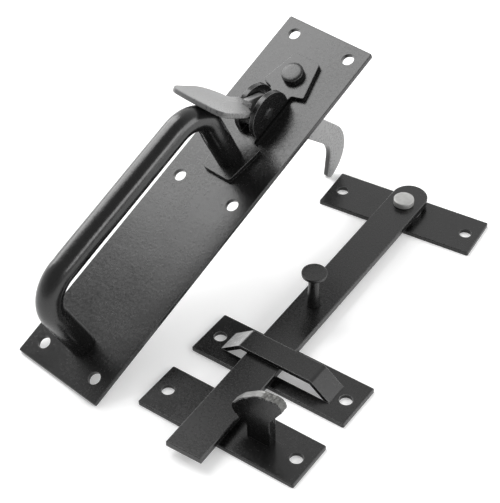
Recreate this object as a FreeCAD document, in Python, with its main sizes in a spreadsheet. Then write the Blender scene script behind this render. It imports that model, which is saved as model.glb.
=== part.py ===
import FreeCAD, Part
import math
import os

import Sketcher
from FreeCAD import Placement, Rotation, Vector

# Suffolk latch set laid out loose on a table. The handle unit leans on the hook of its
# thumb lever. The latch bar lies on its pivot plate and runs through the staple to the
# keep. The origin is under the bar's pivot, on the table.

os.makedirs("parts", exist_ok=True)
doc = FreeCAD.newDocument("suffolk_latch")
sheet = doc.addObject("Spreadsheet::Sheet", "sizes")

# Millimetres and degrees. "Along" is up the face plate from its bottom edge, "above" is
# out from its back face.
SIZES = [
    ("fit_play", 0.05),
    ("bar_play", 0.15),
    ("edge_bevel", 0.3),
    ("screw_hole", 6.0),
    ("plate_long", 81.0),
    ("plate_wide", 25.4),
    ("plate_thick", 2.0),
    ("plate_margin", 6.8),
    ("plate_corner", 0.8),
    ("pivot_angle", 12.34),
    ("rivet_shank", 6.0),
    ("rivet_head", 10.2),
    ("rivet_rise", 3.3),
    ("rivet_wall", 2.9),
    ("washer_wide", 18.4),
    ("washer_thick", 2.3),
    ("bar_angle", -81.25),
    ("bar_reach", 188.0),
    ("bar_tail", 6.4),
    ("bar_wide", 17.8),
    ("bar_thick", 3.0),
    ("knob_reach", 85.2),
    ("knob_stem", 6.2),
    ("knob_neck", 5.2),
    ("knob_tenon", 4.6),
    ("knob_disc", 11.8),
    ("knob_rim", 1.4),
    ("knob_bevel", 0.4),
    ("knob_swell", 1.6),
    ("knob_tall", 20.0),
    ("staple_across", 24.9),
    ("staple_away", -120.0),
    ("staple_angle", 7.0),
    ("strap_wide", 11.5),
    ("strap_foot", 29.0),
    ("strap_top", 19.0),
    ("strap_gap", 0.25),
    ("strap_bend", 0.8),
    ("keep_across", 30.0),
    ("keep_away", -158.7),
    ("keep_angle", 7.2),
    ("hook_thick", 4.4),
    ("hook_near", -1.5),
    ("hook_stem_left", 9.5),
    ("hook_stem_right", 21.4),
    ("hook_nose", 1.6),
    ("hook_under", 9.4),
    ("hook_chin", 14.5),
    ("hook_brow", 17.2),
    ("hook_slant", 23.4),
    ("hook_waist", 17.5),
    ("hook_back", 27.6),
    ("hook_ear", 27.5),
    ("hook_top_right", 25.4),
    ("hook_tall", 31.3),
    ("hook_crest", 30.4),
    ("hook_neck_round", 6.0),
    ("hook_ear_round", 2.4),
    ("hook_top_round", 3.0),
    ("hook_brow_round", 12.0),
    ("hook_nose_round", 2.4),
    ("hook_chin_round", 1.6),
    ("hook_tenon", 9.0),
    ("face_long", 205.0),
    ("face_wide", 50.0),
    ("face_thick", 2.2),
    ("face_corner", 0.8),
    ("face_across", -46.1),
    ("face_away", -189.5),
    ("screws_margin", 8.5),
    ("screws_low", 9.3),
    ("screws_middle", 108.4),
    ("screws_high", 7.8),
    ("gauge", 2.4),
    ("fold_share", 0.8),
    ("bracket_round", 2.0),
    ("flare_round", 1.0),
    ("flare_dip", 1.2),
    ("tab_top", 188.1),
    ("tab_half", 7.3),
    ("tab_flare", 12.2),
    ("tab_foot", 168.8),
    ("pad_bottom", 117.0),
    ("pad_half", 8.35),
    ("pad_flare", 11.4),
    ("pad_top", 136.8),
    ("relief", 2.0),
    ("ear_half", 5.8),
    ("ear_arc", 12.0),
    ("ear_centre", 7.0),
    ("pin_along", 153.0),
    ("pin_above", 9.5),
    ("pin_wide", 5.0),
    ("pin_proud", 0.7),
    ("pin_bevel", 0.5),
    ("stud_along", 177.0),
    ("stud_shank", 5.0),
    ("stud_head", 10.8),
    ("stud_rise", 3.4),
    ("stud_wall", 2.5),
    ("grip_wide", 12.0),
    ("grip_low", 18.5),
    ("grip_high", 127.0),
    ("grip_above", 48.0),
    ("grip_bend", 16.0),
    ("grip_tenon", 8.0),
    ("lever_thick", 3.0),
    ("lever_boss", 6.7),
    ("lever_play", 0.9),
    ("lever_across", -1.5),
    ("nose_deep", 3.2),
    ("nose_back", 1.2),
    ("slot_wide", 6.8),
    ("hook_out_along", 169.7),
    ("hook_out_above", -61.3),
    ("hook_in_along", 164.2),
    ("hook_in_above", -61.0),
    ("hook_in", 13.0),
    ("tip_along", 172.0),
    ("tip_above", -78.0),
    ("tip_round", 2.5),
    ("press_behind", 3.4),
    ("press_rise", 10.6),
    ("press_stop", 0.1),
    ("press_thick", 2.4),
    ("press_long", 37.0),
    ("press_half", 16.2),
    ("press_widest", 20.5),
    ("press_corner", 5.5),
    ("press_front", 90.0),
    ("press_shoulder", 12.0),
    ("press_neck", 4.0),
    ("press_fillet", 2.5),
    ("press_bite", 9.0),
]

for row, (alias, number) in enumerate(SIZES, start=1):
    sheet.set("A%d" % row, alias)
    sheet.set("B%d" % row, str(number))
    sheet.setAlias("B%d" % row, alias)
doc.recompute()


def size(alias):
    """One driving dimension, read back from the sheet."""
    return float(sheet.get(alias))


def value(expression):
    """The number that a sheet expression gives."""
    return float(sheet.evalExpression(expression))


def flat(angle, distance=1.0):
    """A vector in a sketch's plane, at an angle in degrees."""
    return Vector(distance * math.cos(math.radians(angle)), distance * math.sin(math.radians(angle)), 0)


def heading(vector):
    """The direction of a flat vector, in degrees."""
    return math.degrees(math.atan2(vector.y, vector.x))


def new_body(label):
    """An empty body whose label is the node's name."""
    body = doc.addObject("PartDesign::Body", label)
    body.Label = label
    return body


def new_sketch(body, name, role, lift="0"):
    """A sketch on one of the body's own planes, lifted along that plane's normal."""
    sketch = body.newObject("Sketcher::SketchObject", name)
    planes = [plane for plane in body.Origin.OriginFeatures if plane.Role == role]
    sketch.AttachmentSupport = [(planes[0], "")]
    sketch.MapMode = "FlatFace"
    sketch.setExpression("AttachmentOffset.Base.z", lift)
    return sketch


def pin_point(sketch, item, point, across, along):
    """Hold a point at two distances from the sketch's origin."""
    for kind, expression in (("DistanceX", across), ("DistanceY", along)):
        rule = Sketcher.Constraint(kind, -1, 1, item, point, value(expression))
        number = sketch.addConstraint(rule)
        sketch.setExpression("Constraints[%d]" % number, expression)


def add_rectangle(sketch, left, bottom, right, top):
    """A rectangle whose four sides follow four expressions."""
    x0, y0, x1, y1 = [value(side) for side in (left, bottom, right, top)]
    corners = [Vector(x0, y0, 0), Vector(x1, y0, 0), Vector(x1, y1, 0), Vector(x0, y1, 0)]
    first = sketch.GeometryCount
    for side in range(4):
        sketch.addGeometry(Part.LineSegment(corners[side], corners[(side + 1) % 4]), False)
    for side in range(4):
        after = first + (side + 1) % 4
        sketch.addConstraint(Sketcher.Constraint("Coincident", first + side, 2, after, 1))
        way = "Vertical" if side % 2 else "Horizontal"
        sketch.addConstraint(Sketcher.Constraint(way, first + side))
    pin_point(sketch, first, 1, left, bottom)
    pin_point(sketch, first + 2, 1, right, top)


def add_circle(sketch, across, along, diameter):
    """A circle whose centre and diameter follow expressions."""
    centre = Vector(value(across), value(along), 0)
    item = sketch.addGeometry(Part.Circle(centre, Vector(0, 0, 1), value(diameter) / 2), False)
    pin_point(sketch, item, 3, across, along)
    number = sketch.addConstraint(Sketcher.Constraint("Diameter", item, value(diameter)))
    sketch.setExpression("Constraints[%d]" % number, diameter)


def add_outline(sketch, pieces):
    """A closed outline of lines and arcs that run end to end."""
    first = sketch.GeometryCount
    for piece in pieces:
        sketch.addGeometry(piece, False)
    for item in range(first, sketch.GeometryCount):
        sketch.addConstraint(Sketcher.Constraint("Block", item))


def corner(before, point, after, radius):
    """The two ends and the middle of an arc that rounds one corner of a path."""
    come = (point - before).normalize()
    leave = (after - point).normalize()
    turn = come.getAngle(leave)
    reach = radius * math.tan(turn / 2)
    start = point - come * reach
    end = point + leave * reach
    inward = (leave - come).normalize()
    middle = point + inward * (radius / math.cos(turn / 2) - radius)
    return start, middle, end


def rounded_path(points, radii):
    """Lines and arcs round a closed run of corners, each with its own radius or 0."""
    pieces = []
    count = len(points)
    ends = []
    for place, point in enumerate(points):
        radius = radii[place]
        if radius:
            ends.append(corner(points[place - 1], point, points[(place + 1) % count], radius))
        else:
            ends.append((point, None, point))
    for place, (start, middle, end) in enumerate(ends):
        if middle is not None:
            pieces.append(Part.Arc(start, middle, end))
        after = ends[(place + 1) % count][0]
        if end.distanceToPoint(after) > 1e-6:
            pieces.append(Part.LineSegment(end, after))
    return pieces


def pad(body, sketch, length, both_ways=False, backwards=False):
    """Raise a sketch by a length that follows an expression."""
    feature = body.newObject("PartDesign::Pad", sketch.Name + "_pad")
    feature.Profile = sketch
    feature.setExpression("Length", length)
    feature.Midplane = both_ways
    feature.Reversed = backwards
    doc.recompute()
    return feature


def cut_through(body, sketch):
    """Cut a sketch right through the body, both ways."""
    volume = body.Shape.Volume
    feature = body.newObject("PartDesign::Pocket", sketch.Name + "_cut")
    feature.Profile = sketch
    feature.Type = "ThroughAll"
    feature.Midplane = True
    doc.recompute()
    if body.Shape.Volume > volume - 1e-3:
        raise RuntimeError(sketch.Name + " cut nothing")
    return feature


def spin(body, sketch):
    """Turn a half profile right round the sketch's upright axis."""
    feature = body.newObject("PartDesign::Revolution", sketch.Name + "_spin")
    feature.Profile = sketch
    feature.ReferenceAxis = (sketch, ["V_Axis"])
    feature.Angle = 360
    doc.recompute()
    return feature


def soften(body, kind, name, chosen, amount):
    """Round or bevel the tip's edges that the test picks, by an expression."""
    base = body.Tip
    edges = [
        "Edge%d" % (place + 1)
        for place, edge in enumerate(base.Shape.Edges)
        if chosen(edge)
    ]
    feature = body.newObject("PartDesign::" + kind, name)
    feature.Base = (base, edges)
    feature.setExpression("Radius" if kind == "Fillet" else "Size", amount)
    doc.recompute()
    return feature


def upright(edge):
    """Whether an edge is straight and runs along Z."""
    box = edge.BoundBox
    return box.XLength < 1e-4 and box.YLength < 1e-4


def bevel_rim(body, level):
    """Break the outer edges of a flat piece at one height, holes apart."""
    outline = body.Shape.BoundBox

    def at_rim(edge):
        box = edge.BoundBox
        level_here = abs(box.ZMin - level) < 1e-4 and abs(box.ZMax - level) < 1e-4
        is_hole = len(edge.Vertexes) == 1 and box.XLength < outline.XLength / 2
        return level_here and not is_hole

    return soften(body, "Chamfer", body.Name + "_rim", at_rim, "sizes.edge_bevel")


def mounting_plate(label, centre_hole=None):
    """A small oblong plate with two screw holes, and a hole in its middle if it has one."""
    body = new_body(label)
    blank = new_sketch(body, label + "_blank", "XY_Plane")
    add_rectangle(
        blank,
        "-sizes.plate_long / 2",
        "-sizes.plate_wide / 2",
        "sizes.plate_long / 2",
        "sizes.plate_wide / 2",
    )
    pad(body, blank, "sizes.plate_thick")
    soften(body, "Fillet", label + "_corners", upright, "sizes.plate_corner")
    bevel_rim(body, size("plate_thick"))
    holes = new_sketch(body, label + "_holes", "XY_Plane")
    for side in ("-", ""):
        across = side + "(sizes.plate_long / 2 - sizes.plate_margin)"
        add_circle(holes, across, "0", "sizes.screw_hole")
    if centre_hole:
        add_circle(holes, "0", "0", centre_hole)
    cut_through(body, holes)
    return body


def rivet(label, shank, length, head, rise, wall):
    """A rivet stood on Z: its shank ends flush, its head has a wall, a bevel and a flat crown."""
    body = new_body(label)
    profile = new_sketch(body, label + "_profile", "XZ_Plane")
    crown = head / 2 - (rise - wall)
    outline = [
        Vector(0, 0, 0),
        Vector(shank / 2, 0, 0),
        Vector(shank / 2, length, 0),
        Vector(head / 2, length, 0),
        Vector(head / 2, length + wall, 0),
        Vector(crown, length + rise, 0),
        Vector(0, length + rise, 0),
    ]
    add_outline(profile, rounded_path(outline, [0] * len(outline)))
    spin(body, profile)
    return body


def pivot_placement(lift=0.0):
    """Where the pivot plate's group stands on the table."""
    return Placement(Vector(0, 0, lift), Rotation(Vector(0, 0, 1), size("pivot_angle")))


def make_pivot_plate():
    """The plate that carries the bar's pivot."""
    body = mounting_plate("pivot_plate", "sizes.rivet_shank + 2 * sizes.fit_play")
    body.Placement = pivot_placement()


def make_pivot_washer():
    """The spacing ring that lifts the bar off the plate."""
    outer = doc.addObject("Part::Cylinder", "washer_outer")
    outer.setExpression("Radius", "sizes.washer_wide / 2")
    outer.setExpression("Height", "sizes.washer_thick")
    inner = doc.addObject("Part::Cylinder", "washer_inner")
    inner.setExpression("Radius", "sizes.rivet_shank / 2 + sizes.fit_play")
    inner.setExpression("Height", "sizes.washer_thick")
    ring = doc.addObject("Part::Cut", "pivot_washer")
    ring.Label = "pivot_washer"
    ring.Base = outer
    ring.Tool = inner
    doc.recompute()
    ring.Placement = pivot_placement(size("plate_thick"))
    return ring


def bar_level():
    """The height of the bar's underside."""
    return size("plate_thick") + size("washer_thick") + size("bar_play")


def make_pivot_rivet():
    """The bright rivet that holds the bar and lets it swing."""
    length = bar_level() + size("bar_thick") + size("bar_play")
    head = size("rivet_head")
    rise = size("rivet_rise")
    body = rivet("pivot_rivet", size("rivet_shank"), length, head, rise, size("rivet_wall"))
    body.Placement = pivot_placement()


def bar_placement():
    """Where the bar lies: lifted, just clear of the keep's nose."""
    return Placement(Vector(0, 0, bar_level()), Rotation(Vector(0, 0, 1), size("bar_angle")))


def make_latch_bar():
    """The flat bar: round at its pivot, square at its free end."""
    body = new_body("latch_bar")
    outline = new_sketch(body, "bar_outline", "XY_Plane")
    half = size("bar_wide") / 2
    reach = size("bar_reach")
    tail = -size("bar_tail")
    near_low = Vector(tail, -half, 0)
    near_high = Vector(tail, half, 0)
    far_low = Vector(reach, -half, 0)
    far_high = Vector(reach, half, 0)
    add_outline(
        outline,
        [
            Part.LineSegment(near_low, far_low),
            Part.LineSegment(far_low, far_high),
            Part.LineSegment(far_high, near_high),
            Part.Arc(near_high, Vector(tail - half, 0, 0), near_low),
        ],
    )
    pad(body, outline, "sizes.bar_thick")
    bevel_rim(body, size("bar_thick"))
    holes = new_sketch(body, "bar_holes", "XY_Plane")
    add_circle(holes, "0", "0", "sizes.rivet_shank + 2 * sizes.fit_play")
    add_circle(holes, "sizes.knob_reach", "0", "sizes.knob_tenon + 2 * sizes.fit_play")
    cut_through(body, holes)
    body.Placement = bar_placement()


def make_bar_knob():
    """The turned knob, riveted through the bar: a tapering stem that flares to a flat disc."""
    body = new_body("bar_knob")
    profile = new_sketch(body, "knob_profile", "XZ_Plane")
    base = size("bar_thick")
    top = base + size("knob_tall")
    rim_low = top - size("knob_rim")
    neck_level = rim_low - size("knob_swell")
    disc = size("knob_disc") / 2
    bevel = size("knob_bevel")
    tenon = Vector(size("knob_tenon") / 2, 0, 0)
    shoulder = Vector(tenon.x, base, 0)
    stem = Vector(size("knob_stem") / 2, base, 0)
    neck = Vector(size("knob_neck") / 2, neck_level, 0)
    under = Vector(disc, rim_low, 0)
    rim = Vector(disc, top - bevel, 0)
    crown_edge = Vector(disc - bevel, top, 0)
    crown = Vector(0, top, 0)
    add_outline(
        profile,
        [
            Part.LineSegment(Vector(0, 0, 0), tenon),
            Part.LineSegment(tenon, shoulder),
            Part.LineSegment(shoulder, stem),
            Part.LineSegment(stem, neck),
            Part.LineSegment(neck, under),
            Part.LineSegment(under, rim),
            Part.LineSegment(rim, crown_edge),
            Part.LineSegment(crown_edge, crown),
            Part.LineSegment(crown, Vector(0, 0, 0)),
        ],
    )
    spin(body, profile)
    place = bar_placement()
    body.Placement = place * Placement(Vector(size("knob_reach"), 0, 0), Rotation())


def folded_strip(points, thick, bend):
    """The closed outline of a strip of sheet folded along a centre line."""
    half = thick / 2
    sides = []
    for way in (1, -1):
        pieces = []
        last = None
        for place, point in enumerate(points):
            if place in (0, len(points) - 1):
                other = points[1] if place == 0 else points[-2]
                run = (other - point) if place == 0 else (point - other)
                run.normalize()
                spot = point + Vector(-run.y, run.x, 0) * (half * way)
                if last is not None:
                    pieces.append(Part.LineSegment(last, spot))
                last = spot
                continue
            come = (point - points[place - 1]).normalize()
            leave = (points[place + 1] - point).normalize()
            turn = come.getAngle(leave)
            left_turn = come.x * leave.y - come.y * leave.x > 0
            middle_radius = bend + half
            reach = middle_radius * math.tan(turn / 2)
            inward = (leave - come).normalize()
            centre = point + inward * (middle_radius / math.cos(turn / 2))
            radius = middle_radius - half * way if left_turn else middle_radius + half * way
            start = centre + (point - come * reach - centre).normalize() * radius
            end = centre + (point + leave * reach - centre).normalize() * radius
            pieces.append(Part.LineSegment(last, start))
            pieces.append(Part.Arc(start, centre - inward * radius, end))
            last = end
        sides.append((pieces, pieces[0].StartPoint, last))
    (one, one_start, one_end), (two, two_start, two_end) = sides
    return one + two + [Part.LineSegment(one_start, two_start), Part.LineSegment(one_end, two_end)]


def make_staple():
    """The guide staple: one plate with its middle strap slit free and pressed up."""
    body = mounting_plate("staple")
    half_gauge = size("plate_thick") / 2
    inner = bar_level() + size("bar_thick") + size("strap_gap")
    run = size("strap_foot") - size("strap_top")
    half_slope = math.atan2(inner, run) / 2
    shift = half_gauge * math.tan(half_slope)
    foot = size("strap_foot") - shift
    top = size("strap_top") - shift
    window_end = foot + (size("strap_bend") + half_gauge) * math.tan(half_slope)
    window = new_sketch(body, "staple_window", "XY_Plane")
    add_rectangle(
        window,
        "-%r" % window_end,
        "-sizes.strap_wide / 2",
        "%r" % window_end,
        "sizes.strap_wide / 2",
    )
    cut_through(body, window)
    strap = new_sketch(body, "staple_strap", "XZ_Plane")
    path = [
        Vector(-window_end, half_gauge, 0),
        Vector(-foot, half_gauge, 0),
        Vector(-top, inner + half_gauge, 0),
        Vector(top, inner + half_gauge, 0),
        Vector(foot, half_gauge, 0),
        Vector(window_end, half_gauge, 0),
    ]
    path[0] = path[0] - Vector(1, 0, 0)
    path[-1] = path[-1] + Vector(1, 0, 0)
    add_outline(strap, folded_strip(path, size("plate_thick"), size("strap_bend")))
    pad(body, strap, "sizes.strap_wide", both_ways=True)
    body.Placement = Placement(
        Vector(size("staple_across"), size("staple_away"), 0),
        Rotation(Vector(0, 0, 1), size("staple_angle")),
    )


def keep_placement():
    """Where the keep lies, beyond the staple."""
    return Placement(
        Vector(size("keep_across"), size("keep_away"), 0),
        Rotation(Vector(0, 0, 1), size("keep_angle")),
    )


def make_keep_plate():
    """The keep's plate, slotted for the hook's tenon."""
    body = mounting_plate("keep_plate")
    slot = new_sketch(body, "keep_slot", "XY_Plane")
    centre = "(sizes.hook_stem_left + sizes.hook_stem_right) / 2"
    add_rectangle(
        slot,
        centre + " - sizes.hook_tenon / 2 - sizes.fit_play",
        "sizes.hook_near - sizes.fit_play",
        centre + " + sizes.hook_tenon / 2 + sizes.fit_play",
        "sizes.hook_near + sizes.hook_thick + sizes.fit_play",
    )
    cut_through(body, slot)
    body.Placement = keep_placement()


def make_keep_hook():
    """The hook that catches the bar, sheared from thick flat and riveted into its plate."""
    body = new_body("keep_hook")
    profile = new_sketch(body, "hook_profile", "XZ_Plane", "-sizes.hook_near")
    floor = size("plate_thick")
    left = size("hook_stem_left")
    right = size("hook_stem_right")
    nose = size("hook_nose")
    back = size("hook_back")
    middle = (left + right) / 2
    tenon = size("hook_tenon") / 2
    corners = [
        (middle - tenon, 0, 0),
        (middle + tenon, 0, 0),
        (middle + tenon, floor, 0),
        (right, floor, 0),
        (right, size("hook_waist"), size("hook_neck_round")),
        (back, size("hook_ear"), size("hook_ear_round")),
        (size("hook_top_right"), size("hook_tall"), size("hook_top_round")),
        (middle, size("hook_crest"), size("hook_brow_round")),
        ((nose * 2 + middle) / 3, size("hook_slant"), size("hook_brow_round")),
        (nose, size("hook_brow"), size("hook_nose_round")),
        (nose, size("hook_chin"), size("hook_nose_round")),
        ((nose + left) / 2, size("hook_under"), size("hook_chin_round")),
        (left, size("hook_under"), size("hook_chin_round")),
        (left, floor, 0),
        (middle - tenon, floor, 0),
    ]
    points = [Vector(across, above, 0) for across, above, radius in corners]
    radii = [radius for across, above, radius in corners]
    add_outline(profile, rounded_path(points, radii))
    pad(body, profile, "sizes.hook_thick", backwards=True)
    body.Placement = keep_placement()


def hook_tip():
    """The centre of the lever hook's rounded tip, in the face plate's frame."""
    return Vector(size("tip_along"), size("tip_above"), 0)


def lean():
    """The face plate's slope: its bottom back edge and the hook's tip both touch the table."""
    tip = hook_tip()
    return math.degrees(math.asin(size("tip_round") / tip.Length)) - heading(tip)


def handle_placement():
    """Where the handle unit lies: X across the face plate, Y up it, Z out of it."""
    return Placement(
        Vector(size("face_across"), size("face_away"), 0), Rotation(Vector(1, 0, 0), lean())
    )


def lever_centres():
    """The pin, the outer and the inner circle that shape the lever, as flat vectors."""
    pin = Vector(size("pin_along"), size("pin_above"), 0)
    outer = Vector(size("hook_out_along"), size("hook_out_above"), 0)
    inner = Vector(size("hook_in_along"), size("hook_in_above"), 0)
    return pin, outer, inner


def hook_reach():
    """The radius of the hook's outer edge, which runs on into its round tip."""
    outer = lever_centres()[1]
    return (hook_tip() - outer).Length + size("tip_round")


def tangent(centre, radius, other, other_radius):
    """Touch points of the line that leaves both circles on its left, going to the other.

    A negative radius puts that circle on the line's right.
    """
    gap = other - centre
    swing = math.degrees(math.asin((radius - other_radius) / gap.Length))
    side = heading(gap) - 90 + swing
    return centre - flat(side, -radius), other - flat(side, -other_radius)


def lever_seat():
    """Where the lever sits across its bracket: against one ear, as its side play lets it."""
    return Placement(Vector(size("lever_across"), 0, 0), Rotation())


def slot_ends():
    """The lever's slot in the plates: its two ends, from the lever's swing and its play."""
    pin, outer, inner = lever_centres()
    start, end = tangent(outer, hook_reach(), pin, size("lever_boss"))
    share = (0 - start.y) / (end.y - start.y)
    pressed = start + (end - start) * share
    low = pin.x - size("lever_boss") - size("lever_play")
    return low, pressed.x + size("lever_play")


def make_face_plate():
    """The door plate of the handle unit."""
    body = new_body("face_plate")
    blank = new_sketch(body, "face_blank", "XY_Plane")
    add_rectangle(blank, "-sizes.face_wide / 2", "0", "sizes.face_wide / 2", "sizes.face_long")
    pad(body, blank, "sizes.face_thick")
    soften(body, "Fillet", "face_corners", upright, "sizes.face_corner")
    bevel_rim(body, size("face_thick"))
    holes = new_sketch(body, "face_holes", "XY_Plane")
    for row in ("sizes.screws_low", "sizes.screws_middle", "sizes.face_long - sizes.screws_high"):
        for side in ("-", ""):
            across = side + "(sizes.face_wide / 2 - sizes.screws_margin)"
            add_circle(holes, across, row, "sizes.screw_hole")
    add_circle(holes, "0", "sizes.grip_low", "sizes.grip_tenon + 2 * sizes.fit_play")
    add_circle(holes, "0", "sizes.grip_high", "sizes.grip_tenon + 2 * sizes.fit_play")
    add_circle(holes, "0", "sizes.stud_along", "sizes.stud_shank + 2 * sizes.fit_play")
    low, high = slot_ends()
    add_rectangle(holes, "-sizes.slot_wide / 2", "%r" % low, "sizes.slot_wide / 2", "%r" % high)
    cut_through(body, holes)
    body.Placement = handle_placement()


def bracket_outline():
    """The bracket's flat shape: tab, narrow web that carries the ears, and lower pad."""
    web = size("ear_half")
    relief = size("relief")
    ear_top = size("pin_along") + size("ear_arc")
    ear_low = size("pin_along") - size("ear_arc")
    dip = size("flare_dip")
    tab_web = size("tab_foot") - dip
    pad_web = size("pad_top") + dip
    tuck = relief - size("fit_play")
    half = [
        (size("tab_half"), size("tab_top"), size("bracket_round")),
        (size("tab_flare"), size("tab_foot"), size("flare_round")),
        (web + relief, tab_web, 0),
        (web, tab_web, tuck),
        (web, ear_top, 0),
        (web, ear_low, 0),
        (web, pad_web, tuck),
        (web + relief, pad_web, 0),
        (size("pad_flare"), size("pad_top"), size("flare_round")),
        (size("pad_half"), size("pad_bottom"), size("bracket_round")),
    ]
    points = [Vector(x, y, 0) for x, y, radius in half]
    radii = [radius for x, y, radius in half]
    points += [Vector(-x, y, 0) for x, y, radius in reversed(half)]
    radii += list(reversed(radii))
    return rounded_path(points, radii)


def make_thumb_bracket():
    """The pressed bracket: its two ears are folded up beside the lever's slot."""
    body = new_body("thumb_bracket")
    blank = new_sketch(body, "bracket_blank", "XY_Plane", "sizes.face_thick")
    add_outline(blank, bracket_outline())
    pad(body, blank, "sizes.gauge")
    along = size("pin_along")
    arc = size("ear_arc")
    centre = size("ear_centre")
    floor = size("face_thick")
    low = Vector(along - arc, floor, 0)
    high = Vector(along + arc, floor, 0)
    low_shoulder = Vector(along - arc, centre, 0)
    high_shoulder = Vector(along + arc, centre, 0)
    for name, lift in (
        ("right_ear", "sizes.ear_half - sizes.gauge"),
        ("left_ear", "-sizes.ear_half"),
    ):
        ear = new_sketch(body, name, "YZ_Plane", lift)
        add_outline(
            ear,
            [
                Part.LineSegment(low, high),
                Part.LineSegment(high, high_shoulder),
                Part.Arc(high_shoulder, Vector(along, centre + arc, 0), low_shoulder),
                Part.LineSegment(low_shoulder, low),
            ],
        )
        pad(body, ear, "sizes.gauge")
    half = size("ear_half")

    def at_fold(edge):
        box = edge.BoundBox
        runs_along = box.YLength > arc and box.XLength < 1e-4 and box.ZLength < 1e-4
        return runs_along and abs(abs(box.XMin) - half) < 1e-4 and abs(box.ZMin - floor) < 1e-4

    soften(body, "Fillet", "fold_backs", at_fold, "sizes.gauge * sizes.fold_share")
    holes = new_sketch(body, "bracket_holes", "XY_Plane")
    add_circle(holes, "0", "sizes.grip_high", "sizes.grip_tenon + 2 * sizes.fit_play")
    add_circle(holes, "0", "sizes.stud_along", "sizes.stud_shank + 2 * sizes.fit_play")
    low_end, high_end = slot_ends()
    add_rectangle(
        holes, "-sizes.slot_wide / 2", "%r" % low_end, "sizes.slot_wide / 2", "%r" % high_end
    )
    cut_through(body, holes)
    bore = new_sketch(body, "bracket_bore", "YZ_Plane")
    add_circle(bore, "sizes.pin_along", "sizes.pin_above", "sizes.pin_wide + 2 * sizes.fit_play")
    cut_through(body, bore)
    body.Placement = handle_placement()


def make_bracket_rivet():
    """The rivet that holds the bracket's tab on the face plate."""
    length = size("face_thick") + size("gauge")
    head = size("stud_head")
    rise = size("stud_rise")
    body = rivet("bracket_rivet", size("stud_shank"), length, head, rise, size("stud_wall"))
    seat = Placement(Vector(0, size("stud_along"), 0), Rotation())
    body.Placement = handle_placement() * seat


def make_lever_pin():
    """The pin that the thumb lever rocks on, riveted over outside both ears."""
    body = new_body("lever_pin")
    section = new_sketch(body, "pin_section", "YZ_Plane")
    add_circle(section, "0", "0", "sizes.pin_wide")
    pad(body, section, "2 * (sizes.ear_half + sizes.pin_proud)", both_ways=True)
    soften(body, "Chamfer", "pin_ends", lambda edge: edge.BoundBox.XLength < 1e-4, "sizes.pin_bevel")
    seat = Placement(Vector(0, size("pin_along"), size("pin_above")), Rotation())
    body.Placement = handle_placement() * seat


def make_grip_handle():
    """The pull: one round bar bent twice, with a tenon riveted through at each foot."""
    body = new_body("grip_handle")
    low = size("grip_low")
    high = size("grip_high")
    top = size("grip_above")
    bend = size("grip_bend")
    start = size("face_thick")
    route = new_sketch(body, "grip_route", "YZ_Plane")
    slant = bend * math.sqrt(0.5)
    low_turn = Vector(low + bend - slant, top - bend + slant, 0)
    high_turn = Vector(high - bend + slant, top - bend + slant, 0)
    pieces = [
        Part.LineSegment(Vector(low, start, 0), Vector(low, top - bend, 0)),
        Part.Arc(Vector(low, top - bend, 0), low_turn, Vector(low + bend, top, 0)),
        Part.LineSegment(Vector(low + bend, top, 0), Vector(high - bend, top, 0)),
        Part.Arc(Vector(high - bend, top, 0), high_turn, Vector(high, top - bend, 0)),
        Part.LineSegment(Vector(high, top - bend, 0), Vector(high, start + size("gauge"), 0)),
    ]
    add_outline(route, pieces)
    section = new_sketch(body, "grip_section", "XY_Plane", "sizes.face_thick")
    add_circle(section, "0", "sizes.grip_low", "sizes.grip_wide")
    doc.recompute()
    pipe = body.newObject("PartDesign::AdditivePipe", "grip_bar")
    pipe.Profile = section
    pipe.Spine = (route, ["Edge%d" % (place + 1) for place in range(len(pieces))])
    doc.recompute()
    for name, along, height in (
        ("low_tenon", "sizes.grip_low", "sizes.face_thick"),
        ("high_tenon", "sizes.grip_high", "sizes.face_thick + sizes.gauge"),
    ):
        tenon = new_sketch(body, name, "XY_Plane")
        add_circle(tenon, "0", along, "sizes.grip_tenon")
        pad(body, tenon, height)
    body.Placement = handle_placement()


def press_frame():
    """The press's root on its top face, the way it runs and the way it faces.

    Pressed down, its underside stops just clear of the grip's upper bend.
    """
    pin, outer, inner = lever_centres()
    root = pin + Vector(-size("press_behind"), size("press_rise"), 0)
    bend = Vector(size("grip_high") - size("grip_bend"), size("grip_above") - size("grip_bend"), 0)
    clear = size("grip_bend") + size("grip_wide") / 2 + size("press_stop") + size("press_thick")
    slope = heading(bend - root) - math.degrees(math.asin(clear / (bend - root).Length))
    return root, flat(slope), flat(slope - 90)


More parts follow.
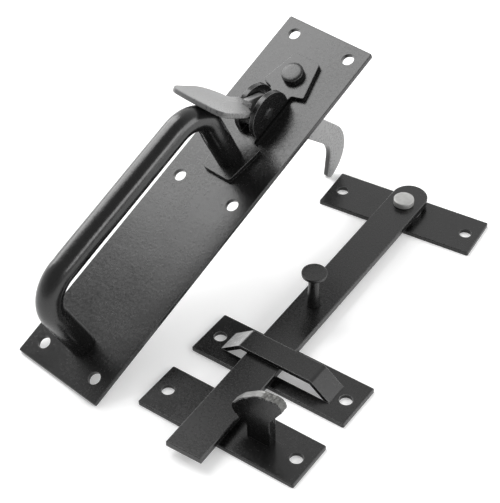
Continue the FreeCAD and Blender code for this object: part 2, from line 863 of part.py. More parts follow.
def make_thumb_lever():
    """The lever seen from the side: boss on its pin, nose under the press, tapering arm
    and a hook that runs round two circles to a round tip."""
    body = new_body("thumb_lever")
    profile = new_sketch(body, "lever_profile", "YZ_Plane")
    pin, outer, inner = lever_centres()
    boss = size("lever_boss")
    hook_out = hook_reach()
    hook_in = size("hook_in")
    tip = hook_tip()
    tip_round = size("tip_round")
    root, ahead, up = press_frame()
    seat = root - up * size("press_thick")
    nose_top = seat + ahead * size("press_bite")
    nose_low = nose_top - up * size("nose_deep") - ahead * size("nose_back")

    # The outer edge climbs from the hook to the boss.
    outer_start, outer_end = tangent(outer, hook_out, pin, boss)
    # The top edge leaves the boss for the press's root.
    top_reach = math.sqrt((root - pin).Length ** 2 - boss ** 2)
    top_swing = math.degrees(math.atan2(boss, top_reach))
    top_way = heading(root - pin) + top_swing
    top_start = pin + flat(top_way - 90, boss)
    # The lower edge comes back from the nose to the boss.
    low_reach = math.sqrt((nose_low - pin).Length ** 2 - boss ** 2)
    low_way = heading(pin - nose_low) + math.degrees(math.atan2(boss, low_reach))
    low_end = pin + flat(low_way - 90, boss)
    # The inner edge drops from the boss to the hook's throat.
    inner_start, inner_end = tangent(pin, boss, inner, -hook_in)
    # The throat runs out to the tip.
    throat_start, throat_end = tangent(inner, -hook_in, tip, tip_round)
    tip_way = (tip - outer).normalize()
    tip_end = tip + tip_way * tip_round

    def about(centre, radius, start, end, clockwise=False):
        first = heading(start - centre)
        last = heading(end - centre)
        if clockwise:
            while last > first:
                last -= 360
        else:
            while last < first:
                last += 360
        return Part.Arc(start, centre + flat((first + last) / 2, radius), end)

    pieces = [
        about(outer, hook_out, tip_end, outer_start),
        Part.LineSegment(outer_start, outer_end),
        about(pin, boss, outer_end, top_start),
        Part.LineSegment(top_start, root),
        Part.LineSegment(root, seat),
        Part.LineSegment(seat, nose_top),
        Part.LineSegment(nose_top, nose_low),
        Part.LineSegment(nose_low, low_end),
        about(pin, boss, low_end, inner_start),
        Part.LineSegment(inner_start, inner_end),
        about(inner, hook_in, inner_end, throat_start, clockwise=True),
        Part.LineSegment(throat_start, throat_end),
        about(tip, tip_round, throat_end, tip_end),
    ]
    add_outline(profile, pieces)
    pad(body, profile, "sizes.lever_thick", both_ways=True)
    bore = new_sketch(body, "lever_bore", "YZ_Plane")
    add_circle(bore, "sizes.pin_along", "sizes.pin_above", "sizes.pin_wide + 2 * sizes.fit_play")
    cut_through(body, bore)
    body.Placement = handle_placement() * lever_seat()


def press_outline():
    """The thumb press from above: a neck, round shoulders and a wide, nearly flat front."""
    long = size("press_long")
    half = size("press_half")
    widest = size("press_widest")
    bend = size("press_corner")
    shoulder = size("press_shoulder")
    neck = size("press_neck")
    fillet = size("press_fillet")
    corner_out = half - bend
    front = size("press_front")
    front_centre = Vector(0, long - front, 0)
    bend_level = front_centre.y + math.sqrt((front - bend) ** 2 - corner_out ** 2)
    pieces = []
    starts = []
    for side in (1, -1):
        bend_centre = Vector(side * corner_out, bend_level, 0)
        shoulder_centre = Vector(side * (half - shoulder), widest, 0)
        front_meet = bend_centre + (bend_centre - front_centre).normalize() * bend
        side_top = Vector(side * half, bend_level, 0)
        side_low = Vector(side * half, widest, 0)
        fillet_x = side * (neck + fillet)
        drop = math.sqrt((shoulder + fillet) ** 2 - (fillet_x - shoulder_centre.x) ** 2)
        fillet_centre = Vector(fillet_x, widest - drop, 0)
        shoulder_end = fillet_centre + (shoulder_centre - fillet_centre).normalize() * fillet
        neck_top = Vector(side * neck, fillet_centre.y, 0)
        neck_root = Vector(side * neck, 0, 0)
        bend_middle = bend_centre + (front_meet + side_top - bend_centre * 2).normalize() * bend
        shoulder_middle = (
            shoulder_centre
            + (side_low + shoulder_end - shoulder_centre * 2).normalize() * shoulder
        )
        fillet_middle = (
            fillet_centre + (shoulder_end + neck_top - fillet_centre * 2).normalize() * fillet
        )
        pieces += [
            Part.Arc(front_meet, bend_middle, side_top),
            Part.LineSegment(side_top, side_low),
            Part.Arc(side_low, shoulder_middle, shoulder_end),
            Part.Arc(shoulder_end, fillet_middle, neck_top),
            Part.LineSegment(neck_top, neck_root),
        ]
        starts.append((front_meet, neck_root))
    pieces.append(Part.Arc(starts[0][0], Vector(0, long, 0), starts[1][0]))
    pieces.append(Part.LineSegment(starts[0][1], starts[1][1]))
    return pieces


def make_thumb_press():
    """The flat press, welded on the lever's nose where the thumb pushes."""
    body = new_body("thumb_press")
    outline = new_sketch(body, "press_outline", "XY_Plane")
    add_outline(outline, press_outline())
    pad(body, outline, "sizes.press_thick")
    bevel_rim(body, size("press_thick"))
    root, ahead, up = press_frame()
    seat = root - up * size("press_thick")
    tilt = Rotation(Vector(1, 0, 0), heading(ahead))
    turned = Placement(Vector(0, seat.x, seat.y), tilt)
    flip = Placement(Vector(0, 0, 0), Rotation(Vector(0, 1, 0), 180))
    body.Placement = handle_placement() * lever_seat() * turned * flip


make_pivot_plate()
make_pivot_washer()
make_pivot_rivet()
make_latch_bar()
make_bar_knob()
make_staple()
make_keep_plate()
make_keep_hook()
make_face_plate()
make_thumb_bracket()
make_bracket_rivet()
make_grip_handle()
make_lever_pin()
make_thumb_lever()
make_thumb_press()
doc.recompute()

NODES = [
    "pivot_plate",
    "pivot_washer",
    "pivot_rivet",
    "latch_bar",
    "bar_knob",
    "staple",
    "keep_plate",
    "keep_hook",
    "face_plate",
    "thumb_bracket",
    "bracket_rivet",
    "grip_handle",
    "lever_pin",
    "thumb_lever",
    "thumb_press",
]

for item in doc.Objects:
    if "Invalid" in item.State or "Error" in item.State:
        raise RuntimeError(item.Name + " failed")

shapes = {}
for label in NODES:
    shape = doc.getObjectsByLabel(label)[0].Shape
    if shape.isNull() or not shape.isValid() or len(shape.Solids) != 1:
        raise RuntimeError(label + " is not one sound solid")
    shapes[label] = shape

for label, shape in shapes.items():
    shape.exportStep("parts/" + label + ".step")
    box = shape.BoundBox
    print(
        "%-14s %8.0f mm3  x %.1f..%.1f  y %.1f..%.1f  z %.2f..%.2f"
        % (label, shape.Volume, box.XMin, box.XMax, box.YMin, box.YMax, box.ZMin, box.ZMax)
    )
print("lean %.2f degrees" % lean())
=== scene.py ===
import math

import bpy
import numpy as np
from mathutils import Matrix, Vector


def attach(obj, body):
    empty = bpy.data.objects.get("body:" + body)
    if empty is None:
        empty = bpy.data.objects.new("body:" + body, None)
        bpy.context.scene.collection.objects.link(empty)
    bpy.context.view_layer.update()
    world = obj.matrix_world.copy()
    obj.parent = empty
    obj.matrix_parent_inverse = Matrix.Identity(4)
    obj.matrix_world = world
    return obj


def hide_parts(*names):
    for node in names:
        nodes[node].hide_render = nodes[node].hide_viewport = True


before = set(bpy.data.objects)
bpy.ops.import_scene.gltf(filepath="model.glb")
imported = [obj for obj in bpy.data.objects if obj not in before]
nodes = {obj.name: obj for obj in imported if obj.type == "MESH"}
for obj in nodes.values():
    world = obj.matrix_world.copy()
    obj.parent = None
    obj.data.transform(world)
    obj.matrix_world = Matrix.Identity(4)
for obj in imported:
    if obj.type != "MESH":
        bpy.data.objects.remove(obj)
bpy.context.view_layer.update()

# The table and the light. The set lies loose on a white table that glows a little, with
# two large soft boxes on its left and two weaker ones on its right, so its shadows are
# pale and soft. The camera looks down over the keep, 43 degrees round from the front.

AIM = Vector((-0.0387, -0.0711, 0.0))
CAMERA_DISTANCE = 0.6658
CAMERA_ROUND = math.radians(43.0)
CAMERA_DOWN = math.radians(42.15)
CAMERA_ROLL = math.radians(0.97)
LENS = 97.77
FRAME_LONG_SIDE = 36.0
ROOM_DIM_SIDE = (0.35, -0.50, 0.79)
ROOM_BRIGHT = 1.30
ROOM_DIM = 0.35
ROOM_FADE_START = -0.2
ROOM_FADE_END = 0.8
TABLE_HALF = 3.0
TABLE_GLOW = 0.22


def place_camera():
    """The camera on a sphere about the aim point, rolled about its own line of sight."""
    ahead = Vector((
        -math.sin(CAMERA_ROUND) * math.cos(CAMERA_DOWN),
        math.cos(CAMERA_ROUND) * math.cos(CAMERA_DOWN),
        -math.sin(CAMERA_DOWN),
    ))
    right = Vector((math.cos(CAMERA_ROUND), math.sin(CAMERA_ROUND), 0.0))
    down = ahead.cross(right)
    rolled_right = right * math.cos(CAMERA_ROLL) + down * math.sin(CAMERA_ROLL)
    rolled_down = ahead.cross(rolled_right)
    turn = Matrix((rolled_right, -rolled_down, -ahead)).transposed()
    camera = bpy.data.objects.new("camera", bpy.data.cameras.new("camera"))
    camera.data.sensor_width = FRAME_LONG_SIDE
    camera.data.lens = LENS
    camera.data.clip_start = 0.01
    camera.matrix_world = Matrix.Translation(AIM - ahead * CAMERA_DISTANCE) @ turn.to_4x4()
    bpy.context.scene.collection.objects.link(camera)
    bpy.context.scene.camera = camera


def soft_light(name, spot, size, watts):
    """A square soft box that faces the middle of the set."""
    lamp = bpy.data.lights.new(name, "AREA")
    lamp.size = size
    lamp.energy = watts
    box = bpy.data.objects.new(name, lamp)
    box.location = spot
    box.rotation_euler = (AIM - Vector(spot)).to_track_quat("-Z", "Y").to_euler()
    bpy.context.scene.collection.objects.link(box)


def mapped(tree, source, start, end, first=0.0, last=1.0):
    """A number that runs evenly from first to last while the source runs from start to
    end, and stays at either beyond them."""
    node = tree.nodes.new("ShaderNodeMapRange")
    node.inputs["From Min"].default_value = start
    node.inputs["From Max"].default_value = end
    node.inputs["To Min"].default_value = first
    node.inputs["To Max"].default_value = last
    tree.links.new(source, node.inputs["Value"])
    return node.outputs["Result"]


def compared(tree, operation, source, other):
    """One number from two vectors: how far they point one way, or how far apart they lie.
    The second one is a socket or stays fixed."""
    node = tree.nodes.new("ShaderNodeVectorMath")
    node.operation = operation
    tree.links.new(source, node.inputs[0])
    if isinstance(other, tuple):
        node.inputs[1].default_value = other
    else:
        tree.links.new(other, node.inputs[1])
    return node.outputs["Value"]


def studio_room():
    """A pale room round the table, dimmer on the camera's side: its brightness falls
    evenly with how far a direction points to that side."""
    room = bpy.data.worlds.new("studio_room")
    room.use_nodes = True
    tree = room.node_tree
    direction = tree.nodes.new("ShaderNodeTexCoord").outputs["Generated"]
    towards_dim = compared(tree, "DOT_PRODUCT", direction, ROOM_DIM_SIDE)
    bright = mapped(
        tree, towards_dim, ROOM_FADE_START, ROOM_FADE_END, ROOM_BRIGHT, ROOM_DIM)
    tree.links.new(bright, tree.nodes["Background"].inputs["Strength"])
    tree.nodes["Background"].inputs["Color"].default_value = (1, 1, 1, 1)
    return room


def new_material(name):
    """A new material, with its tree, its shader and the place on the piece, in metres."""
    material = bpy.data.materials.new(name)
    material.use_nodes = True
    tree = material.node_tree
    place = tree.nodes.new("ShaderNodeTexCoord").outputs["Object"]
    return material, tree, tree.nodes["Principled BSDF"], place


def noise(tree, place, scale, detail):
    """Soft random clouds over the piece, about as many to the metre as the scale says."""
    node = tree.nodes.new("ShaderNodeTexNoise")
    node.inputs["Scale"].default_value = scale
    node.inputs["Detail"].default_value = detail
    tree.links.new(place, node.inputs["Vector"])
    return node.outputs["Fac"]


def grey(value):
    """A colour with the same value in red, green and blue."""
    return value, value, value


def shades(tree, source, dark, light, start=0.0, end=1.0):
    """A colour that runs from dark to light while the source runs from start to end."""
    node = tree.nodes.new("ShaderNodeValToRGB")
    low, high = node.color_ramp.elements
    low.position = start
    high.position = end
    low.color = (*dark, 1)
    high.color = (*light, 1)
    tree.links.new(source, node.inputs["Fac"])
    return node.outputs["Color"]


def white_surface():
    """Matt white light table, glowing a little, with the faintest unevenness."""
    material, tree, shader, place = new_material("white_table")
    white = shades(tree, noise(tree, place, 6.0, 2.0), grey(0.90), grey(0.93))
    tree.links.new(white, shader.inputs["Base Color"])
    shader.inputs["Roughness"].default_value = 0.7
    shader.inputs["Specular IOR Level"].default_value = 0.2
    shader.inputs["Emission Color"].default_value = (1, 1, 1, 1)
    shader.inputs["Emission Strength"].default_value = TABLE_GLOW
    return material


place_camera()
soft_light("key_box", (-0.70, -0.055, 1.08), 0.60, 6.5)
soft_light("side_box", (-1.05, -0.02, 0.58), 0.75, 7.5)
soft_light("right_box", (0.95, 0.42, 0.42), 0.70, 5.0)
soft_light("low_right_box", (0.95, -0.10, 0.50), 0.32, 1.8)
bpy.context.scene.world = studio_room()
bpy.context.scene.view_settings.view_transform = "Standard"

table_mesh = bpy.data.meshes.new("table")
table_corners = [(across * TABLE_HALF, along * TABLE_HALF, 0)
                 for across, along in ((-1, -1), (1, -1), (1, 1), (-1, 1))]
table_mesh.from_pydata(table_corners, [], [(0, 1, 2, 3)])
table = bpy.data.objects.new("table", table_mesh)
table.data.materials.append(white_surface())
bpy.context.scene.collection.objects.link(table)

# The face plate. A strip of flat steel, 50 mm wide, sheared to length, punched for its
# screws, the lever and the rivets, then painted satin black. The paint lies a little
# unevenly and is rubbed thin along the sheared edges.

STEEL_WAVES = 22.0
ORANGE_PEEL = 800.0
EDGE_ROUND = 0.0004
EDGE_PAINTED = 0.995
EDGE_BARE = 0.80
SHADES_START = 0.35
SHADES_END = 0.65
GLOSS_SWING = 0.06
# The reach of the painted highlight patch, and how far its side must face the lights.
HIGHLIGHT_WITHIN = 0.0080
HIGHLIGHT_GONE_PAST = 0.0095
HIGHLIGHT_FACING_START = 0.3
HIGHLIGHT_FACING_FULL = 0.6


def joined(tree, operation, one, other):
    """One number from two: their product, or the larger of them."""
    node = tree.nodes.new("ShaderNodeMath")
    node.operation = operation
    tree.links.new(one, node.inputs[0])
    tree.links.new(other, node.inputs[1])
    return node.outputs[0]


def bump(tree, height, strength, depth, normal=None):
    """Small relief: the light falls as if the height source raised the surface by up to
    the depth in metres, over the normal that is given or else the surface's own."""
    node = tree.nodes.new("ShaderNodeBump")
    node.inputs["Strength"].default_value = strength
    node.inputs["Distance"].default_value = depth
    tree.links.new(height, node.inputs["Height"])
    if normal is not None:
        tree.links.new(normal, node.inputs["Normal"])
    return node.outputs["Normal"]


def painted_highlight_patch(tree, place, faced, highlight_place, highlight_way):
    """A painted highlight: 1 near the given place on a side that faces the given way, towards
    the lights, and 0 far from it or on another side, as the product of both shares."""
    away = compared(tree, "DISTANCE", place, highlight_place)
    near = mapped(tree, away, HIGHLIGHT_GONE_PAST, HIGHLIGHT_WITHIN)
    facing = compared(tree, "DOT_PRODUCT", faced, highlight_way)
    turned_to = mapped(tree, facing, HIGHLIGHT_FACING_START, HIGHLIGHT_FACING_FULL)
    return joined(tree, "MULTIPLY", near, turned_to)


def satin_paint(name, dark, light, rough, wear_and_highlight_grey=0.14, wear=1.0, peel=0.5, shine=0.5, painted_highlight=None):
    """Satin black paint on steel, from the piece's own place.

    Its colour runs between dark and light, and its roughness a little either way, with
    the mean of a broad and a fine noise. The fine noise is also the paint's orange peel,
    and the broad one the unevenness of the steel under it. The edges are rounded for the
    light, and where rounding turns the surface most, the paint wears towards the lighter
    grey, by as much as wear says. Over the painted highlight patch, where there is one,
    the same grey is laid in as a painted highlight.
    """
    material, tree, shader, place = new_material(name)
    shader.inputs["Specular IOR Level"].default_value = shine
    broad = noise(tree, place, STEEL_WAVES, 3.0)
    fine = noise(tree, place, ORANGE_PEEL, 3.0)
    mixed = tree.nodes.new("ShaderNodeMix")
    tree.links.new(broad, mixed.inputs["A"])
    tree.links.new(fine, mixed.inputs["B"])
    cloud = mixed.outputs["Result"]
    colour = shades(tree, cloud, grey(dark), grey(light), SHADES_START, SHADES_END)
    gloss = mapped(tree, cloud, SHADES_START, SHADES_END, rough - GLOSS_SWING, rough + GLOSS_SWING)
    tree.links.new(gloss, shader.inputs["Roughness"])

    rounded = tree.nodes.new("ShaderNodeBevel")
    rounded.samples = 6
    rounded.inputs["Radius"].default_value = EDGE_ROUND
    faced = tree.nodes.new("ShaderNodeNewGeometry").outputs["True Normal"]
    unturned = compared(tree, "DOT_PRODUCT", rounded.outputs["Normal"], faced)
    wear_and_highlight = mapped(tree, unturned, EDGE_PAINTED, EDGE_BARE, 0.0, wear)
    # Over the patch, where one is given, the same light grey is laid in as a painted highlight.
    if painted_highlight:
        wear_and_highlight = joined(tree, "MAXIMUM", wear_and_highlight, painted_highlight_patch(tree, place, faced, *painted_highlight))
    wear_and_highlight_mix = tree.nodes.new("ShaderNodeMix")
    wear_and_highlight_mix.data_type = "RGBA"
    wear_and_highlight_mix.inputs["B"].default_value = (*grey(wear_and_highlight_grey), 1)
    tree.links.new(wear_and_highlight, wear_and_highlight_mix.inputs["Factor"])
    tree.links.new(colour, wear_and_highlight_mix.inputs["A"])
    tree.links.new(wear_and_highlight_mix.outputs["Result"], shader.inputs["Base Color"])

    swell = bump(tree, broad, 0.35, 0.0006, rounded.outputs["Normal"])
    tree.links.new(bump(tree, fine, peel, 0.00006, swell), shader.inputs["Normal"])
    return material


def finish_node(node, material):
    """Give a CAD piece its material."""
    nodes[node].data.materials.clear()
    nodes[node].data.materials.append(material)


finish_node("face_plate", satin_paint("face_paint", 0.006, 0.012, 0.25, wear_and_highlight_grey=0.12))

# The grip. One 12 mm round bar, bent cold twice over a former, so it is a little flat
# outside each bend and carries the dents of the work. A turned tenon at each foot goes
# through the plate and is riveted over, flush at the back. Semi-gloss black.

HANDLE_FOOT = (-46.1, -189.5)
HANDLE_LEAN = math.radians(25.1522)
GRIP_RADIUS = 6.0
GRIP_LOW = 18.5
GRIP_HIGH = 127.0
GRIP_TOP = 48.0
GRIP_BEND = 16.0
TENON_RADIUS = 4.0
PLATE_TOP = 2.2
PAD_TOP = 4.6
BACK_GAP = 0.02
FOOT_CHAMFER = 0.3
FOOT_SOFT = 0.1
FOOT_RINGS = 6
BEND_FLAT = 0.16
WAVE_DEEP = 0.05
DENT_DEEP = 0.16
DENT_LONG = 1.6
DENT_OUTWARD = 0.75
DENT_ACROSS = -0.65


def on_handle(across, along, above):
    """Places on the leaning handle unit, from millimetres across, along and above its
    face plate to metres in the set's frame: a turn about X by the lean, then a shift."""
    deep = HANDLE_FOOT[1] + along * math.cos(HANDLE_LEAN) - above * math.sin(HANDLE_LEAN)
    high = along * math.sin(HANDLE_LEAN) + above * math.cos(HANDLE_LEAN)
    return np.stack(np.broadcast_arrays(HANDLE_FOOT[0] + across, deep, high), axis=-1) / 1000


def unevenness(seed, count, pitch, *places):
    """Hand-work in the surface: a sum of sine waves of random direction and phase, each
    about the pitch long, over any number of coordinates. It mostly stays within -1 and 1."""
    pick = np.random.default_rng(seed)
    total = 0.0
    for _ in range(count):
        way = pick.normal(size=len(places))
        way *= math.tau / pitch * pick.uniform(0.6, 1.6) / np.linalg.norm(way)
        phase = pick.uniform(0, math.tau)
        total = total + np.sin(sum(step * place for step, place in zip(way, places)) + phase)
    return total / math.sqrt(count) / 1.8


def skin(name, grid, material):
    """A closed piece over a grid of places. Each row is a ring of the surface, and each
    square of four neighbours is one face. The first and last rings are closed by a face."""
    rows, columns = grid.shape[:2]
    number = np.arange(rows * columns).reshape(rows, columns)
    after = np.roll(number, -1, axis=1)
    squares = np.stack([number[:-1], after[:-1], after[1:], number[1:]], axis=-1).reshape(-1, 4)
    faces = squares.tolist() + [number[0, ::-1].tolist(), number[-1].tolist()]
    mesh = bpy.data.meshes.new(name)
    mesh.from_pydata(grid.reshape(-1, 3).tolist(), [], faces)
    smooth = np.ones(len(faces), dtype=bool)
    smooth[-2:] = False
    mesh.polygons.foreach_set("use_smooth", smooth)
    mesh.materials.append(material)
    piece = bpy.data.objects.new(name, mesh)
    bpy.context.scene.collection.objects.link(piece)
    return piece


def foot_levels(seat):
    """A foot's rings from the back of the plate up: the tenon's chamfered end, its wall to
    the seat, the flat shoulder that lies on the seat, and the shoulder's rounding."""
    return np.array([
        BACK_GAP, FOOT_CHAMFER, seat, seat, seat + FOOT_SOFT, seat + FOOT_CHAMFER,
    ])


def grip_surface():
    """The bar as a circle carried along the bent centre line: up, round a quarter circle,
    along, round a second quarter circle and down. Its radius falls a little on the outside
    of each bend and with the unevenness of the work, by a bell curve where the bar was
    knocked beside the first bend, and to the tenon's at both feet."""
    quarter = np.linspace(0, math.pi / 2, 28)
    straight = np.linspace(0, 1, 60)[1:-1]
    leg = np.linspace(0, 1, 14)[1:-1]
    low_foot = foot_levels(PLATE_TOP)
    high_foot = foot_levels(PAD_TOP)[::-1]
    high_side = GRIP_TOP - GRIP_BEND
    low_turn = GRIP_LOW + GRIP_BEND
    high_turn = GRIP_HIGH - GRIP_BEND
    along = np.concatenate([
        np.full(FOOT_RINGS + leg.size, GRIP_LOW), low_turn - GRIP_BEND * np.cos(quarter),
        low_turn + straight * (high_turn - low_turn), high_turn + GRIP_BEND * np.sin(quarter),
        np.full(leg.size + FOOT_RINGS, GRIP_HIGH),
    ])
    above = np.concatenate([
        low_foot, low_foot[-1] + leg * (high_side - low_foot[-1]),
        high_side + GRIP_BEND * np.sin(quarter), np.full(straight.size, GRIP_TOP),
        high_side + GRIP_BEND * np.cos(quarter),
        high_side - leg * (high_side - high_foot[0]), high_foot,
    ])
    heading = np.concatenate([
        np.full(FOOT_RINGS + leg.size, math.pi / 2), math.pi / 2 - quarter,
        np.zeros(straight.size), -quarter, np.full(leg.size + FOOT_RINGS, -math.pi / 2),
    ])
    foot_radius = np.array([
        TENON_RADIUS - FOOT_CHAMFER, TENON_RADIUS, TENON_RADIUS,
        GRIP_RADIUS - FOOT_CHAMFER, GRIP_RADIUS - FOOT_SOFT, GRIP_RADIUS,
    ])
    radius = np.full(along.size, GRIP_RADIUS)
    radius[:FOOT_RINGS] = foot_radius
    radius[-FOOT_RINGS:] = foot_radius[::-1]
    first_bend = FOOT_RINGS + leg.size
    second_bend = first_bend + quarter.size + straight.size
    bent = np.zeros(along.size)
    bent[first_bend:first_bend + quarter.size] = np.sin(quarter * 2)
    bent[second_bend:second_bend + quarter.size] = np.sin(quarter * 2)

    length = np.concatenate([[0], np.cumsum(np.hypot(np.diff(along), np.diff(above)))])[:, None]
    round_bar = np.linspace(0, math.tau, 72, endpoint=False)[None, :]
    outward = np.cos(round_bar)
    across = np.sin(round_bar)
    flatter = BEND_FLAT * bent[:, None] * np.clip(outward, 0, 1) ** 2
    waves = unevenness(3, 9, 30.0, length, outward * 9, across * 9)
    past_bend = length - length[first_bend + quarter.size]
    dent = DENT_DEEP * np.exp(
        -(past_bend / DENT_LONG) ** 2
        - ((outward - DENT_OUTWARD) / 0.3) ** 2 - ((across - DENT_ACROSS) / 0.35) ** 2)
    full_bar = radius[:, None] > GRIP_RADIUS - FOOT_SOFT / 2
    reach = radius[:, None] - full_bar * (flatter + WAVE_DEEP * (1 + waves) + dent)
    return on_handle(
        reach * across,
        along[:, None] - reach * outward * np.sin(heading)[:, None],
        above[:, None] + reach * outward * np.cos(heading)[:, None],
    )


grip_paint = satin_paint("grip_paint", 0.003, 0.006, 0.23, wear=0.0, shine=0.6)
grip = skin("grip", grip_surface(), grip_paint)
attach(grip, "fixed_set")
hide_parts("grip_handle")

# The thumb bracket with its rivet and the lever's pin. The bracket is pressed from sheet
# with both ears folded up, and held by a hammered rivet at its tab. The pin is riveted
# over outside the ears. All three are painted together with the plate.

STUD_ALONG = 177.0
STUD_SHANK = 2.5
STUD_HEAD = 5.4
STUD_WALL = 7.0
STUD_TOP = 7.99
STUD_STRUCK = 7.4
SHANK_CHAMFER = 0.2
UNDER_HEAD_IN = np.array([0.2, 0.04, 0.0])
UNDER_HEAD_UP = np.array([0.0, 0.1, 0.4])
CROWN_SQUARENESS = 3.6
POLE_RADIUS = 0.1


def turned_surface(profile, seed, dent, struck_above):
    """A turned or upset piece: a profile of radii and levels carried round an axis. Above
    the given level the hammer has left shallow dents."""
    sweep = np.linspace(0, math.tau, 72, endpoint=False)[None, :]
    out = np.asarray(profile[0], float)[:, None]
    level = np.asarray(profile[1], float)[:, None] + 0 * sweep
    across = out * np.cos(sweep)
    away = out * np.sin(sweep)
    struck = (level > struck_above) * dent
    level = level - struck * (1 + unevenness(seed, 9, 5.0, across, away))
    return across, away, level


def rivet_profile(shank, head, seat, wall, top):
    """A rivet's half-section from its foot to the middle of its crown, as radii and levels:
    the shank, a flat seat, the head's wall, and a crown that turns in from the wall like
    the corner of a rounded square."""
    turn = np.linspace(0, math.pi / 2, 10)[1:-1]
    power = 2 / CROWN_SQUARENESS
    radii = np.concatenate([
        [shank - SHANK_CHAMFER, shank, shank], head - UNDER_HEAD_IN, [head],
        head * np.cos(turn) ** power, [POLE_RADIUS],
    ])
    levels = np.concatenate([
        [BACK_GAP, SHANK_CHAMFER, seat], seat + UNDER_HEAD_UP, [wall],
        wall + (top - wall) * np.sin(turn) ** power, [top],
    ])
    return radii, levels


bracket_paint = satin_paint("bracket_paint", 0.005, 0.010, 0.25, wear_and_highlight_grey=0.22)
finish_node("thumb_bracket", bracket_paint)
finish_node("lever_pin", satin_paint("pin_paint", 0.003, 0.03, 0.34, wear=0.0, peel=1.0))

stud_profile = rivet_profile(STUD_SHANK, STUD_HEAD, PAD_TOP, STUD_WALL, STUD_TOP)
across, away, level = turned_surface(stud_profile, 11, 0.035, STUD_STRUCK)
stud = skin("stud", on_handle(across, STUD_ALONG + away, level), bracket_paint)
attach(stud, "fixed_set")
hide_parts("bracket_rivet")

# The thumb lever and its press. The lever is cut from 3 mm plate, the press from 2.4 mm
# plate with its edge filed round, and the two are welded together from both sides. Their
# paint is given a lighter grey than the rest: a painted reflection of the white table.

PIN = np.array((153.0, 9.5))
BOSS = 6.7
HOOK_OUT = np.array((169.7, -61.3))
HOOK_IN = np.array((164.2, -61.0))
HOOK_IN_RADIUS = 13.0
TIP = np.array((172.0, -78.0))
TIP_ROUND = 2.5
NOSE_LONG = 9.0
NOSE_DEEP = 3.2
NOSE_SLANT = 1.2
LEVER_ACROSS = -1.5
LEVER_THICK = 3.0
LEVER_EDGE = 0.3
FACE_INSET = 1.0
NARROW_SHARE = 0.45
CORNER_POINTS = 5
PRESS_ROOT = np.array((149.6, 20.1))
PRESS_SLOPE = math.radians(125.526)
PRESS_THICK = 2.4
PRESS_LONG = 37.0
PRESS_HALF = 16.2
PRESS_FRONT = 90.0
PRESS_CORNER = 5.5
PRESS_SHOULDER = 12.0
SHOULDER_AHEAD = 20.5
PRESS_HOLLOW = 2.5
PRESS_NECK = 4.0
PRESS_MIDDLE = np.array((0.0, 21.0))
PRESS_EDGE = 0.45
WORN_ABOVE = -0.3
WORN_AHEAD = 25.0
WORN_DEEP = 0.16
WORN_HALF_WIDE = 9.0
WORN_HALF_LONG = 8.0
BOWED = 0.10
FACE_SPREAD = np.array([0.01, 0.15, 0.3, 0.45, 0.6, 0.72, 0.82, 0.9, 0.95, 0.985])
BEND_RINGS = 5
press_ahead = np.array((math.cos(PRESS_SLOPE), math.sin(PRESS_SLOPE)))
press_up = np.array((math.sin(PRESS_SLOPE), -math.cos(PRESS_SLOPE)))


def arc(centre, radius, start, end, count):
    """Points on a circle from one angle to another, in degrees."""
    angle = np.radians(np.linspace(start, end, count))
    return np.stack([centre[0] + radius * np.cos(angle), centre[1] + radius * np.sin(angle)], axis=1)


def even_steps(path, count, closed=True):
    """A path walked in steps of one length: its points are joined by lines, their lengths
    are added up, and the new points lie at even shares of the sum."""
    if closed:
        path = np.vstack([path, path[:1]])
    step = np.hypot(*np.diff(path, axis=0).T)
    walked = np.concatenate([[0], np.cumsum(step)])
    stops = np.linspace(0, walked[-1], count, endpoint=not closed)
    return np.stack([np.interp(stops, walked, path[:, axis]) for axis in (0, 1)], axis=1)


def plate_surface(outline, middle, lower, upper, edge, wall_rows=3):
    """A thick plate from its outline: rings grow from the middle over the upper face, go
    round a quarter circle at the edge, down the wall, round again and back to the middle.
    It gives two flat coordinates and the height, all as rings."""
    ahead = np.roll(outline, -1, axis=0) - np.roll(outline, 1, axis=0)
    inward = np.stack([-ahead[:, 1], ahead[:, 0]], axis=1)
    inward = sum(np.roll(inward, shift, axis=0) for shift in (-2, -1, 0, 1, 2))
    inward /= np.linalg.norm(inward, axis=1)[:, None]
    turn = np.radians(np.linspace(0, 90, BEND_RINGS))
    inner = outline + inward * edge
    face = middle + (inner - middle)[None] * FACE_SPREAD[:, None, None]
    upper_bend = outline[None] + inward[None] * (edge * (1 - np.sin(turn)))[:, None, None]
    wall = np.repeat(outline[None], wall_rows, axis=0)
    flat = np.concatenate([face, upper_bend, wall, upper_bend[::-1], face[::-1]])
    wall_level = np.linspace(upper - edge, lower + edge, wall_rows + 2)[1:-1]
    level = np.concatenate([
        np.full(FACE_SPREAD.size, upper), upper - edge * (1 - np.cos(turn)), wall_level,
        (lower + edge * (1 - np.cos(turn)))[::-1], np.full(FACE_SPREAD.size, lower),
    ])
    return flat[..., 0], flat[..., 1], level[:, None] + 0 * flat[..., 0]


